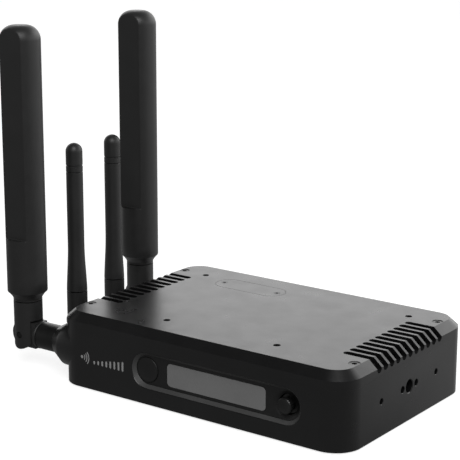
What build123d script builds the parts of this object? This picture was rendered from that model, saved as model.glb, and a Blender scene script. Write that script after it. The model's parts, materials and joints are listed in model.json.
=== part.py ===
"""Wireless receiver unit: a flat black housing with four hinged antennas on its left side.

Millimetres. +X runs to the right along the front, +Y to the back, +Z up. The origin is the mouth of
the camera thread in the middle of the underside. The rubber feet reach a little below z = 0.
"""
from build123d import *
from collections import namedtuple
import os

os.makedirs("parts", exist_ok=True)

# ---------------------------------------------------------------- housing: driving dimensions
BODY_W = 170.0
BODY_D = 114.0
BODY_H = 37.5
CORNER_R = 13.5
EDGE_OUT = 4.4  # horizontal leg of the top edge's chamfer
EDGE_DOWN = 3.95  # vertical leg of it
WALL = 3.0
SEAM_Z = 29.0  # where the top cover meets the main frame
MID_Z = 17.0  # height of the antenna ports, the controls and the side holes
SIDE_X = BODY_W / 2
FACE_Y = BODY_D / 2
FIT = 0.1  # gap between pieces that are fixed to each other

BASE_T = 2.0
BASE_LIP = 1.6  # width of the frame's rim round the bottom plate
POST_X = 78.0
POST_Y = 38.5
POST_R = 4.0
POST_WEB_X = POST_X + 2.2  # middle of the web that ties a post to the wall
LOW_POST_TOP = 12.5
HIGH_POST_BOTTOM = 21.5
SCREW_HEAD_R = 2.6
SCREW_SEAT_R = 2.9
SCREW_SINK = 0.25  # how far a housing screw's head lies below its face
SCREW_SHANK_R = 1.5
SCREW_CONE_SHARE = 0.8  # depth of a socket as a share of its head's height

VENT_COUNT = 11
VENT_PITCH = 5.63
VENT_W = 3.9
VENT_START_X = 66.0
VENT_BOTTOM_Z = 31.3

TOP_THREAD_R = 1.75
TOP_THREAD_BOSS_R = 4.0
TOP_THREAD_BOSS_Z = 31.5
FRONT_TOP_THREADS = [(-29.2, -38.15), (35.8, -38.15)]
REAR_TOP_THREADS = [(-62.8, 37.7), (62.4, 37.7)]

HATCH_CENTRE = (-29.4, 32.3)
HATCH_L = 42.0
HATCH_W = 15.5
HATCH_T = 1.2
HATCH_OPENING = (22.0, 9.0)
HATCH_SCREW_XY = [(-46.2, 32.3), (-12.6, 32.3)]
HATCH_HEAD_R = 1.7
HATCH_SHANK_R = 0.8
HATCH_SOCKET_R = 0.85

THREAD_R = 3.175  # quarter-inch camera thread
THREAD_DEPTH = 8.0
BASE_BOSS_TOP = 7.0
BASE_BOSS_R = 7.0
THREAD_CHAMFER = 0.4
PIN_HOLE_R = 1.7
HOLE_CHAMFER = 0.2
PIN_HOLE_Y = 6.35
SIDE_SCREW_Y = 25.6
SIDE_SCREW_R = 1.5

FOOT_XY = (66.0, 44.0)
FOOT_R = 6.0
FOOT_RECESS = 0.6
FOOT_PROUD = 0.8
HATCH_GAP = 0.15
HOUSING_SCREW_L = 10.0
SCREW_SOCKET_R = 1.3
SIDE_PAD_DEPTH = 9.5  # from the right face to the inside of the pads
SIDE_PAD_HALF = 11.0

# ---------------------------------------------------------------- front controls
RECESS_X = 12.85
RECESS_L = 98.5
RECESS_H = 18.4
RECESS_BEVEL = 1.8
RECESS_BEVEL_DEPTH = 2.0
PANEL_FLOOR_Y = -FACE_Y + 2.1
PANEL_BACK_Y = -51.6
PANEL_L = 111.0
PANEL_H = 23.0
PANEL_SCREW_XZ = [(-40.4, 8.0), (66.1, 8.0), (-40.4, 26.0), (66.1, 26.0)]
WINDOW_X = 12.6
WINDOW_Z = 16.85
WINDOW_L = 57.4
WINDOW_H = 11.7
WINDOW_R = 2.2
BUTTON_X = -27.8
BUTTON_R = 6.3
BUTTON_FACE_Y = -55.4
BUTTON_DISH_R = 22.0
JOYSTICK_X = 52.9
JOYSTICK_PIVOT_Y = -51.4
KNOB_R = 3.9
KNOB_FACE_Y = -57.3
KNOB_SKIRT_Y = -54.6
KNOB_BORE_R = 5.0
KNOB_WELL_R = 7.2
KNOB_WELL_DEPTH = 1.3
EAR_ROOM_R = 6.6  # room behind the panel for the stick's bearings
EAR_ROOM_DEPTH = 1.3
FRONT_BOARD_Y = (-46.4, -44.8)
FRONT_BOARD_L = 105.0
FRONT_BOARD_H = 20.0
PANEL_SCREW_R = 0.9
PANEL_SCREW_GRIP = 2.2
WINDOW_FLANGE = 1.8
WINDOW_FLANGE_T = 1.0
BUTTON_DISH = 0.8
BUTTON_EDGE = 0.4
BUTTON_FLANGE_R = 7.2
BUTTON_FLANGE_Y = (-51.3, -50.3)
BUTTON_STEM_R = 1.5
BUTTON_STEM_END_Y = -48.6
SWITCH_CORNER_R = 1.2
BUTTON_SWITCH_SIDE = 8.0
BUTTON_SWITCH_T = 1.0
KNOB_DISH_R = 9.0
KNOB_DISH = 0.55
KNOB_EDGE = 0.4
KNOB_FLUTES = 22
KNOB_FLUTE_R = 0.28

# ---------------------------------------------------------------- boards and cooling
BOARD_Z = 8.0
BOARD_T = 1.6
BOARD_TOP = BOARD_Z + BOARD_T
BOARD_W = 144.0
BOARD_Y = (-43.5, 46.0)
STANDOFF_XY = [(-66, -36), (66, -36), (-66, 40), (66, 40)]
RADIO_X = (-74.0, -54.0)
RADIO_D = 98.0
RADIO_Z = 13.2
RADIO_POST_XY = [(-64, -8), (-64, 8)]
BOARD_CORNER_R = 1.5
BOARD_SCREW_R = 1.25
BOARD_SCREW_GRIP = 2.0
FAN_SCREW_GRIP = 4.0
BOARD_HEAD_R = 2.2
BOARD_HEAD_H = 1.5
BOARD_SOCKET_R = 0.9
STANDOFF_R = 2.9
RADIO_STANDOFF_R = 2.5
CAN_SIZE = (15.0, 32.0, 3.6)
CAN_CORNER_R = 0.8
CAN_Y = 27.0
MAIN_CHIP_SIDE = 24.0
CHIP_SIZE = (12.0, 14.0)
CHIP_XY = [(-34, -20), (-34, 4), (-12, -20), (-12, 4)]
COOLER_XY = (38.0, -2.0)
SINK_SIDE = 56.0
SINK_Z = 11.4
SINK_BASE_T = 3.0
SINK_TOP = 21.4
FAN_SIDE = 40.0
FAN_T = 10.0
FAN_BORE_R = 18.7
FAN_HUB_R = 9.0
FAN_BLADES = 7
FAN_SCREW_OFFSET = 16.0

# ---------------------------------------------------------------- rear connectors
JACK_X = [-46.0, -22.0]
HDMI_X = 6.0
HDMI_Z = 12.4
HDMI_L = 15.0
HDMI_H = 5.6
USB_X = 28.0
USB_Z = 11.4
USB_L = 9.0
USB_H = 3.3
POWER_X = 48.0
SWITCH_X = 66.0
SWITCH_PIVOT_Y = 60.0
SWITCH_BUSH_R = 3.0
SWITCH_BORE_R = 2.2
LEVER_TILT = 12.0
ROUND_PORT_R = 6.0

# ---------------------------------------------------------------- antennas
PORT_PITCH = 30.27
BOSS_R = 11.55
BOSS_DEPTH = 18.0
PORT_NUT_T = 1.4
JACK_R = 3.175
JACK_SEAT_R = 4.3
JACK_SEAT_DEPTH = 6.0
PORT_NUT_R = 4.6
PIN_HEAD_DEPTH = 1.2
FEED_R = 1.1
JACK_REACH = 5.0  # how far the port's thread stands out of its boss
JACK_BORE_R = 2.2
JACK_PIN_R = 0.6
JACK_FLANGE_R = 4.0
JACK_TAIL_R = 2.6
JACK_TAIL = 5.5

# Distances called "out" or "end" are measured from the left side face, away from the housing.
Kind = namedtuple(
    "Kind",
    "pivot_out barrel_r tongue_half tongue_r ear_in pin_r pin_head_r barrel_gap end_round "
    "boss_r boss_end_r boss_out nut_r nut_end neck_r collar_r collar_out fork_top spigot_r spigot_top",
)
PADDLE = Kind(
    pivot_out=30.2, barrel_r=7.45, tongue_half=4.5, tongue_r=7.2, ear_in=4.75, pin_r=1.2,
    pin_head_r=1.7, barrel_gap=7.8, end_round=1.8, boss_r=BOSS_R, boss_end_r=7.7, boss_out=7.0,
    nut_r=7.0, nut_end=19.6, neck_r=3.6, collar_r=4.8, collar_out=14.0,
    fork_top=34.4, spigot_r=5.8, spigot_top=44.0,
)
WHIP = Kind(
    pivot_out=23.4, barrel_r=5.45, tongue_half=3.2, tongue_r=5.2, ear_in=3.45, pin_r=1.0,
    pin_head_r=1.4, barrel_gap=5.8, end_round=1.4, boss_r=8.2, boss_end_r=5.8, boss_out=4.6,
    nut_r=5.35, nut_end=15.2, neck_r=2.6, collar_r=3.6, collar_out=11.0,
    fork_top=33.4, spigot_r=3.2, spigot_top=42.0,
)
ANTENNAS = {
    "front_paddle": (PADDLE, -1.5 * PORT_PITCH),
    "front_whip": (WHIP, -0.5 * PORT_PITCH),
    "rear_whip": (WHIP, 0.5 * PORT_PITCH),
    "rear_paddle": (PADDLE, 1.5 * PORT_PITCH),
}
PADDLE_R = 10.33
PADDLE_TOP = 176.0
PADDLE_TOP_R = 7.3
PADDLE_SHOULDER_Z = 39.4
FACET_HALF = 7.5
FACET_BOTTOM_Z = 67.4
WHIP_R = 4.4
WHIP_TAPER_Z = 58.0
WHIP_SLEEVE_TOP = 97.6
WHIP_TOP = 112.9


# ---------------------------------------------------------------- shared helpers
def save(part, label):
    part.label = label
    export_step(part, f"parts/{label}.step")


def turned(profile, plane):
    """Solid of revolution: (radius, height) points turned about the plane's own Z axis."""
    with BuildPart() as blank:
        with BuildSketch(Plane(plane.origin, x_dir=plane.x_dir, z_dir=-plane.y_dir)):
            with BuildLine():
                Polyline(*profile, close=True)
            make_face()
        revolve(axis=Axis(plane.origin, plane.z_dir))
    return blank.part


def side_plane(y, out=0.0):
    """Plane on the left side at a port's height, facing away from the housing."""
    return Plane((-SIDE_X - out, y, MID_Z), x_dir=(0, 1, 0), z_dir=(-1, 0, 0))


def rear_plane(x, z, y=FACE_Y):
    """Plane facing backwards, with its local x to the right along the front."""
    return Plane((x, y, z), x_dir=(1, 0, 0), z_dir=(0, 1, 0))


def front_plane(x, z, y=0.0):
    """Plane facing forwards at (x, z)."""
    return Plane((x, y, z), x_dir=(1, 0, 0), z_dir=(0, -1, 0))


def countersunk_screw(head_r, shank_r, length, socket_r):
    """Flat-head screw with its head's top at the origin, pointing down, with a hex socket."""
    head_h = head_r - shank_r
    with BuildPart() as screw:
        add(turned([(0, 0), (head_r, 0), (shank_r, -head_h), (shank_r, -length), (0, -length)], Plane.XY))
        with BuildSketch():
            RegularPolygon(socket_r, 6)
        extrude(amount=-head_h * SCREW_CONE_SHARE, mode=Mode.SUBTRACT)
    return screw.part


def pan_screw(head_r, head_h, shank_r, length, socket_r):
    """Pan-head screw whose head sits on z = 0 with its shank pointing down."""
    with BuildPart() as screw:
        Cylinder(head_r, head_h, align=(Align.CENTER, Align.CENTER, Align.MIN))
        fillet(screw.edges().group_by(Axis.Z)[-1], head_h * 0.3)
        Cylinder(shank_r, length, align=(Align.CENTER, Align.CENTER, Align.MAX))
        with BuildSketch(Plane.XY.offset(head_h)):
            RegularPolygon(socket_r, 6)
        extrude(amount=-head_h * 0.5, mode=Mode.SUBTRACT)
    return screw.part


# ---------------------------------------------------------------- housing
def make_top_cover():
    cavity_top = BODY_H - WALL
    vent_r = VENT_W / 2
    with BuildPart() as cover:
        with BuildSketch(Plane.XY.offset(SEAM_Z)):
            RectangleRounded(BODY_W, BODY_D, CORNER_R)
        extrude(amount=BODY_H - SEAM_Z)
        lid_face = cover.faces().sort_by(Axis.Z)[-1]
        chamfer(lid_face.edges(), length=EDGE_OUT, length2=EDGE_DOWN, reference=lid_face)
        with BuildSketch(Plane.XY.offset(SEAM_Z)):
            RectangleRounded(BODY_W - 2 * WALL, BODY_D - 2 * WALL, CORNER_R - WALL)
        extrude(amount=cavity_top - SEAM_Z, mode=Mode.SUBTRACT)
        with BuildSketch(Plane.XY.offset(TOP_THREAD_BOSS_Z)):
            with Locations(*FRONT_TOP_THREADS, *REAR_TOP_THREADS):
                Circle(TOP_THREAD_BOSS_R)
        extrude(amount=cavity_top - TOP_THREAD_BOSS_Z)
        with BuildSketch(Plane.XY.offset(TOP_THREAD_BOSS_Z)):
            with Locations(*FRONT_TOP_THREADS, *REAR_TOP_THREADS):
                Circle(TOP_THREAD_R)
        extrude(amount=BODY_H - TOP_THREAD_BOSS_Z, mode=Mode.SUBTRACT)
        # Vent slots run over the top edge and a little way down each side, with round ends.
        slot_l = 2 * (SIDE_X - VENT_START_X)
        with BuildSketch(Plane.XY.offset(VENT_BOTTOM_Z + vent_r)):
            for side in (-1, 1):
                with Locations((side * SIDE_X, 0)):
                    with GridLocations(0, VENT_PITCH, 1, VENT_COUNT):
                        SlotOverall(slot_l, VENT_W)
        extrude(amount=BODY_H - VENT_BOTTOM_Z, mode=Mode.SUBTRACT)
        with BuildSketch(Plane.YZ):
            with Locations((0, VENT_BOTTOM_Z + vent_r)):
                with GridLocations(VENT_PITCH, 0, VENT_COUNT, 1):
                    Circle(vent_r)
        extrude(amount=SIDE_X, both=True, mode=Mode.SUBTRACT)
        # Hatch seat, its opening and its screw holes.
        with BuildSketch(Plane.XY.offset(BODY_H)):
            with Locations(HATCH_CENTRE):
                SlotOverall(HATCH_L, HATCH_W)
        extrude(amount=-HATCH_T, mode=Mode.SUBTRACT)
        with BuildSketch(Plane.XY.offset(BODY_H)):
            with Locations(HATCH_CENTRE):
                Rectangle(*HATCH_OPENING)
            with Locations(*HATCH_SCREW_XY):
                Circle(HATCH_SHANK_R)
        extrude(amount=-WALL, mode=Mode.SUBTRACT)
        for x in (-POST_X, POST_X):
            for y in (-POST_Y, POST_Y):
                with Locations((x, y, BODY_H)):
                    CounterSinkHole(SCREW_SHANK_R + FIT, SCREW_SEAT_R, depth=WALL)
    save(cover.part, "top_cover")


def make_main_frame():
    with BuildPart() as frame:
        with BuildSketch():
            RectangleRounded(BODY_W, BODY_D, CORNER_R)
        extrude(amount=SEAM_Z)
        # Round bosses fill the left corners, flush with the front and the rear faces.
        with BuildSketch(Plane.YZ.offset(-SIDE_X)):
            with Locations((-1.5 * PORT_PITCH, MID_Z), (1.5 * PORT_PITCH, MID_Z)):
                Circle(BOSS_R)
        extrude(amount=BOSS_DEPTH)
        for kind, y in ANTENNAS.values():
            cone = [
                (0, -WALL), (kind.boss_r, -WALL), (kind.boss_r, 0),
                (kind.boss_end_r, kind.boss_out), (0, kind.boss_out),
            ]
            add(turned(cone, side_plane(y)))
        with BuildSketch(Plane.XY):
            RectangleRounded(BODY_W - 2 * WALL, BODY_D - 2 * WALL, CORNER_R - WALL)
        extrude(amount=SEAM_Z, mode=Mode.SUBTRACT)
        with BuildSketch(Plane.XY):
            RectangleRounded(BODY_W - 2 * BASE_LIP, BODY_D - 2 * BASE_LIP, CORNER_R - BASE_LIP)
        extrude(amount=BASE_T, mode=Mode.SUBTRACT)
        # Screw posts: low ones for the bottom plate, high ones that reach up to the cover.
        for low, high in [(BASE_T, LOW_POST_TOP), (HIGH_POST_BOTTOM, SEAM_Z)]:
            with BuildSketch(Plane.XY.offset(low)):
                with GridLocations(2 * POST_X, 2 * POST_Y, 2, 2):
                    Circle(POST_R)
                with GridLocations(2 * POST_WEB_X, 2 * POST_Y, 2, 2):
                    Rectangle(POST_R, 2 * POST_R)
            extrude(amount=high - low)
        with BuildSketch(Plane.XY.offset(SEAM_Z)):
            with GridLocations(2 * POST_X, 2 * POST_Y, 2, 2):
                Circle(POST_R - 3 * FIT)
        extrude(amount=BODY_H - WALL - SEAM_Z)
        with BuildSketch(Plane.XY.offset(BASE_T)):
            with GridLocations(2 * POST_X, 2 * POST_Y, 2, 2):
                Circle(SCREW_SHANK_R + FIT / 2)
        extrude(amount=BODY_H, mode=Mode.SUBTRACT)
        # Pads inside the right wall for the camera thread, its locating holes and two screws.
        with BuildSketch(Plane.YZ.offset(SIDE_X - SIDE_PAD_DEPTH)):
            with Locations((0, MID_Z)):
                RectangleRounded(2 * SIDE_PAD_HALF, SIDE_PAD_HALF, THREAD_R)
            with Locations((-SIDE_SCREW_Y, MID_Z), (SIDE_SCREW_Y, MID_Z)):
                Circle(POST_R)
        extrude(amount=SIDE_PAD_DEPTH - WALL)
        with BuildSketch(Plane.YZ.offset(SIDE_X)):
            with Locations((0, MID_Z)):
                Circle(THREAD_R)
            with Locations((-PIN_HOLE_Y, MID_Z), (PIN_HOLE_Y, MID_Z)):
                Circle(PIN_HOLE_R)
            with Locations((-SIDE_SCREW_Y, MID_Z), (SIDE_SCREW_Y, MID_Z)):
                Circle(SIDE_SCREW_R)
        extrude(amount=-THREAD_DEPTH, mode=Mode.SUBTRACT)
        mouths = frame.edges().filter_by(GeomType.CIRCLE).group_by(Axis.X)[-1]
        chamfer(mouths.filter_by(lambda edge: edge.radius > THREAD_R - FIT), THREAD_CHAMFER)
        mouths = frame.edges().filter_by(GeomType.CIRCLE).group_by(Axis.X)[-1]
        chamfer(mouths.filter_by(lambda edge: edge.radius < THREAD_R - FIT), HOLE_CHAMFER)
        # Front recess: a stadium with a bevelled wall, open behind for the control panel.
        with BuildSketch(front_plane(RECESS_X, MID_Z, -FACE_Y)):
            SlotOverall(RECESS_L, RECESS_H)
        with BuildSketch(front_plane(RECESS_X, MID_Z, -FACE_Y + RECESS_BEVEL_DEPTH)):
            SlotOverall(RECESS_L - 2 * RECESS_BEVEL, RECESS_H - 2 * RECESS_BEVEL)
        loft(ruled=True, mode=Mode.SUBTRACT)
        with BuildSketch(front_plane(RECESS_X, MID_Z, -FACE_Y + RECESS_BEVEL_DEPTH)):
            SlotOverall(RECESS_L - 2 * RECESS_BEVEL, RECESS_H - 2 * RECESS_BEVEL)
        extrude(amount=-WALL, mode=Mode.SUBTRACT)
        with BuildSketch(Plane.XZ.offset(FACE_Y - WALL)):
            with Locations(*PANEL_SCREW_XZ):
                Circle(PANEL_SCREW_R + FIT / 2)
        extrude(amount=PANEL_SCREW_GRIP, mode=Mode.SUBTRACT)
        # Antenna port holes, with a flat seat inside for each port's flange.
        for kind, y in ANTENNAS.values():
            with BuildSketch(side_plane(y, kind.boss_out)):
                Circle(JACK_R + FIT)
            extrude(amount=-kind.boss_out - BOSS_DEPTH, mode=Mode.SUBTRACT)
            with BuildSketch(side_plane(y, -WALL)):
                Circle(JACK_SEAT_R)
            extrude(amount=-JACK_SEAT_DEPTH, mode=Mode.SUBTRACT)
        # Rear openings.
        with BuildSketch(Plane.XZ.offset(-FACE_Y)):
            with Locations(*[(x, MID_Z) for x in JACK_X], (POWER_X, MID_Z)):
                Circle(ROUND_PORT_R + FIT)
            with Locations((SWITCH_X, MID_Z)):
                Circle(SWITCH_BUSH_R + FIT)
            with Locations((HDMI_X, HDMI_Z)):
                Rectangle(HDMI_L + 4 * FIT, HDMI_H + 4 * FIT)
            with Locations((USB_X, USB_Z)):
                SlotOverall(USB_L + 4 * FIT, USB_H + 4 * FIT)
        extrude(amount=WALL, mode=Mode.SUBTRACT)
    save(frame.part, "main_frame")


def make_bottom_plate():
    plate_inset = BASE_LIP + FIT
    with BuildPart() as plate:
        with BuildSketch():
            RectangleRounded(BODY_W - 2 * plate_inset, BODY_D - 2 * plate_inset, CORNER_R - plate_inset)
        extrude(amount=BASE_T)
        Cylinder(BASE_BOSS_R, BASE_BOSS_TOP, align=(Align.CENTER, Align.CENTER, Align.MIN))
        Cylinder(THREAD_R, 3 * BASE_BOSS_TOP, mode=Mode.SUBTRACT)
        with BuildSketch():
            with GridLocations(2 * FOOT_XY[0], 2 * FOOT_XY[1], 2, 2):
                Circle(FOOT_R + FIT)
        extrude(amount=FOOT_RECESS, mode=Mode.SUBTRACT)
        for x in (-POST_X, POST_X):
            for y in (-POST_Y, POST_Y):
                with Locations(Plane((x, y, 0), x_dir=(1, 0, 0), z_dir=(0, 0, -1))):
                    CounterSinkHole(SCREW_SHANK_R + FIT, SCREW_SEAT_R, depth=BASE_T)
    save(plate.part, "bottom_plate")


def make_feet():
    with BuildPart() as feet:
        with BuildSketch(Plane.XY.offset(FOOT_RECESS)):
            with GridLocations(2 * FOOT_XY[0], 2 * FOOT_XY[1], 2, 2):
                Circle(FOOT_R)
        extrude(amount=-FOOT_RECESS - FOOT_PROUD)
        fillet(feet.edges().group_by(Axis.Z)[0], FOOT_PROUD / 2)
    save(feet.part, "rubber_feet")


def make_housing_screws():
    cover_screw = countersunk_screw(SCREW_HEAD_R, SCREW_SHANK_R, HOUSING_SCREW_L, SCREW_SOCKET_R)
    hatch_screw = countersunk_screw(HATCH_HEAD_R, HATCH_SHANK_R, WALL, HATCH_SOCKET_R)
    with BuildPart() as cover_screws:
        with Locations(Plane.XY.offset(BODY_H - SCREW_SINK)):
            with GridLocations(2 * POST_X, 2 * POST_Y, 2, 2):
                add(cover_screw)
        with Locations(*[(x, y, BODY_H) for x, y in HATCH_SCREW_XY]):
            add(hatch_screw)
    save(cover_screws.part, "cover_screws")
    with BuildPart() as base_screws:
        with Locations(Plane((0, 0, SCREW_SINK), x_dir=(1, 0, 0), z_dir=(0, 0, -1))):
            with GridLocations(2 * POST_X, 2 * POST_Y, 2, 2):
                add(cover_screw)
    save(base_screws.part, "base_screws")


def make_hatch():
    with BuildPart() as hatch:
        with BuildSketch(Plane.XY.offset(BODY_H)):
            with Locations(HATCH_CENTRE):
                SlotOverall(HATCH_L - 2 * HATCH_GAP, HATCH_W - 2 * HATCH_GAP)
        extrude(amount=-HATCH_T)
        for x, y in HATCH_SCREW_XY:
            with Locations((x, y, BODY_H)):
                CounterSinkHole(HATCH_SHANK_R + FIT, HATCH_HEAD_R + FIT, depth=HATCH_T)
    save(hatch.part, "hatch_plate")


# ---------------------------------------------------------------- front controls
def make_control_panel():
    with BuildPart() as panel:
        with BuildSketch(front_plane(RECESS_X, MID_Z, PANEL_BACK_Y)):
            Rectangle(PANEL_L, PANEL_H)
        extrude(amount=FACE_Y - WALL + PANEL_BACK_Y)
        with BuildSketch(front_plane(RECESS_X, MID_Z, PANEL_BACK_Y)):
            inset = RECESS_BEVEL + FIT
            SlotOverall(RECESS_L - 2 * inset, RECESS_H - 2 * inset)
        extrude(amount=PANEL_BACK_Y - PANEL_FLOOR_Y)
        with BuildSketch(Plane.XZ.offset(-PANEL_FLOOR_Y)):
            with Locations((WINDOW_X, WINDOW_Z)):
                RectangleRounded(WINDOW_L, WINDOW_H, WINDOW_R)
            with Locations((BUTTON_X, MID_Z)):
                Circle(BUTTON_R + FIT)
            with Locations((JOYSTICK_X, MID_Z)):
                Circle(KNOB_BORE_R)
            with Locations(*PANEL_SCREW_XZ):
                Circle(PANEL_SCREW_R + FIT)
        extrude(amount=PANEL_FLOOR_Y - PANEL_BACK_Y, mode=Mode.SUBTRACT)
        # The stick stands in a conical well and has room for its bearings behind it.
        with BuildSketch(front_plane(JOYSTICK_X, MID_Z, PANEL_FLOOR_Y)):
            Circle(KNOB_WELL_R)
        with BuildSketch(front_plane(JOYSTICK_X, MID_Z, PANEL_FLOOR_Y + KNOB_WELL_DEPTH)):
            Circle(KNOB_BORE_R)
        loft(ruled=True, mode=Mode.SUBTRACT)
        with BuildSketch(front_plane(JOYSTICK_X, MID_Z, PANEL_BACK_Y)):
            Circle(EAR_ROOM_R)
        extrude(amount=EAR_ROOM_DEPTH, mode=Mode.SUBTRACT)
    save(panel.part, "control_panel")


def make_display():
    with BuildPart() as window:
        with BuildSketch(front_plane(WINDOW_X, WINDOW_Z, PANEL_BACK_Y)):
            RectangleRounded(WINDOW_L - 2 * FIT, WINDOW_H - 2 * FIT, WINDOW_R)
        extrude(amount=PANEL_BACK_Y - PANEL_FLOOR_Y)
        with BuildSketch(front_plane(WINDOW_X, WINDOW_Z, PANEL_BACK_Y)):
            Rectangle(WINDOW_L + 2 * WINDOW_FLANGE, WINDOW_H + 2 * WINDOW_FLANGE)
        extrude(amount=-WINDOW_FLANGE_T)
    save(window.part, "display_window")
    with BuildPart() as module:
        with BuildSketch(front_plane(WINDOW_X, WINDOW_Z, FRONT_BOARD_Y[0])):
            Rectangle(WINDOW_L + WINDOW_FLANGE, WINDOW_H + WINDOW_FLANGE)
        extrude(amount=FRONT_BOARD_Y[0] - PANEL_BACK_Y - WINDOW_FLANGE_T - FIT)
    save(module.part, "display_module")


def make_front_board():
    with BuildPart() as board:
        with BuildSketch(front_plane(RECESS_X, MID_Z, FRONT_BOARD_Y[1])):
            Rectangle(FRONT_BOARD_L, FRONT_BOARD_H)
        extrude(amount=FRONT_BOARD_Y[1] - FRONT_BOARD_Y[0])
    save(board.part, "front_board")
    with BuildPart() as switch:
        with BuildSketch(front_plane(BUTTON_X, MID_Z, FRONT_BOARD_Y[0])):
            RectangleRounded(BUTTON_SWITCH_SIDE, BUTTON_SWITCH_SIDE, SWITCH_CORNER_R)
        extrude(amount=BUTTON_SWITCH_T)
    save(switch.part, "button_switch")


def make_button():
    """Round push button with a slightly dished face, a flange behind the panel and a short stem."""
    face = -BUTTON_FACE_Y
    flange_front, flange_back = -BUTTON_FLANGE_Y[0], -BUTTON_FLANGE_Y[1]
    profile = [
        (0, -BUTTON_STEM_END_Y), (BUTTON_STEM_R, -BUTTON_STEM_END_Y), (BUTTON_STEM_R, flange_back),
        (BUTTON_FLANGE_R, flange_back), (BUTTON_FLANGE_R, flange_front), (BUTTON_R, flange_front),
        (BUTTON_R, face - BUTTON_EDGE), (BUTTON_R - BUTTON_EDGE, face), (0, face),
    ]
    with BuildPart() as button:
        add(turned(profile, front_plane(BUTTON_X, MID_Z)))
        with Locations((BUTTON_X, BUTTON_FACE_Y - BUTTON_DISH_R + BUTTON_DISH, MID_Z)):
            Sphere(BUTTON_DISH_R, mode=Mode.SUBTRACT)
    save(button.part, "select_button")


def make_joystick():
    """Five-way stick: a base with two ears, a gimbal ring, a rocker in it, and the knob on a stem."""
    pivot = front_plane(JOYSTICK_X, MID_Z, JOYSTICK_PIVOT_Y)
    ring_r = (3.2, 4.6)
    ring_half = 1.0
    pin_r = 0.6
    pin_fit = 0.05
    ear_x = (5.0, 6.2)
    ear_half = 1.5
    base_side = 13.0
    base_face = -2.0  # in front of it, towards the user, is positive
    base_back = JOYSTICK_PIVOT_Y - FRONT_BOARD_Y[0]
    rocker_r = 2.6
    rocker_h = 3.1
    rocker_lift = 0.25
    rocker_pin_reach = 4.2
    stem_r = 1.5
    with BuildPart(pivot) as base:
        with BuildSketch(pivot.offset(base_back)):
            RectangleRounded(base_side, base_side, SWITCH_CORNER_R)
        extrude(amount=base_face - base_back)
        with BuildSketch(pivot.offset(base_face)):
            with Locations(((ear_x[0] + ear_x[1]) / 2, 0), (-(ear_x[0] + ear_x[1]) / 2, 0)):
                Rectangle(ear_x[1] - ear_x[0], 2 * ear_half)
        extrude(amount=-base_face + 2 * pin_r)
        Cylinder(pin_r + pin_fit, 2 * base_side, rotation=(0, 90, 0), mode=Mode.SUBTRACT)
    save(base.part, "joystick_base")
    with BuildPart(pivot) as gimbal:
        Cylinder(ring_r[1], 2 * ring_half)
        Cylinder(pin_r, 2 * ear_x[1], rotation=(0, 90, 0))
        Cylinder(ring_r[0], 2 * ring_half, mode=Mode.SUBTRACT)
        Cylinder(pin_r + pin_fit, 3 * ring_r[1], rotation=(90, 0, 0), mode=Mode.SUBTRACT)
    save(gimbal.part, "joystick_gimbal")
    with BuildPart(pivot) as rocker:
        with Locations((0, 0, rocker_lift)):
            Cylinder(rocker_r, rocker_h)
        Cylinder(pin_r, 2 * rocker_pin_reach, rotation=(90, 0, 0))
        Cylinder(stem_r + pin_fit, 3 * rocker_h, mode=Mode.SUBTRACT)
    save(rocker.part, "joystick_rocker")
    face = JOYSTICK_PIVOT_Y - KNOB_FACE_Y
    skirt = JOYSTICK_PIVOT_Y - KNOB_SKIRT_Y
    profile = [
        (0, -ring_half), (stem_r, -ring_half), (stem_r, skirt), (KNOB_R - KNOB_EDGE, skirt),
        (KNOB_R, skirt + KNOB_EDGE), (KNOB_R, face - KNOB_EDGE), (KNOB_R - KNOB_EDGE, face), (0, face),
    ]
    with BuildPart(pivot) as knob:
        add(turned(profile, Plane.XY))
        with Locations((0, 0, face + KNOB_DISH_R - KNOB_DISH)):
            Sphere(KNOB_DISH_R, mode=Mode.SUBTRACT)
        with PolarLocations(KNOB_R, KNOB_FLUTES):
            Cylinder(KNOB_FLUTE_R, 2 * face, mode=Mode.SUBTRACT)
    save(knob.part, "joystick_knob")


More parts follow.
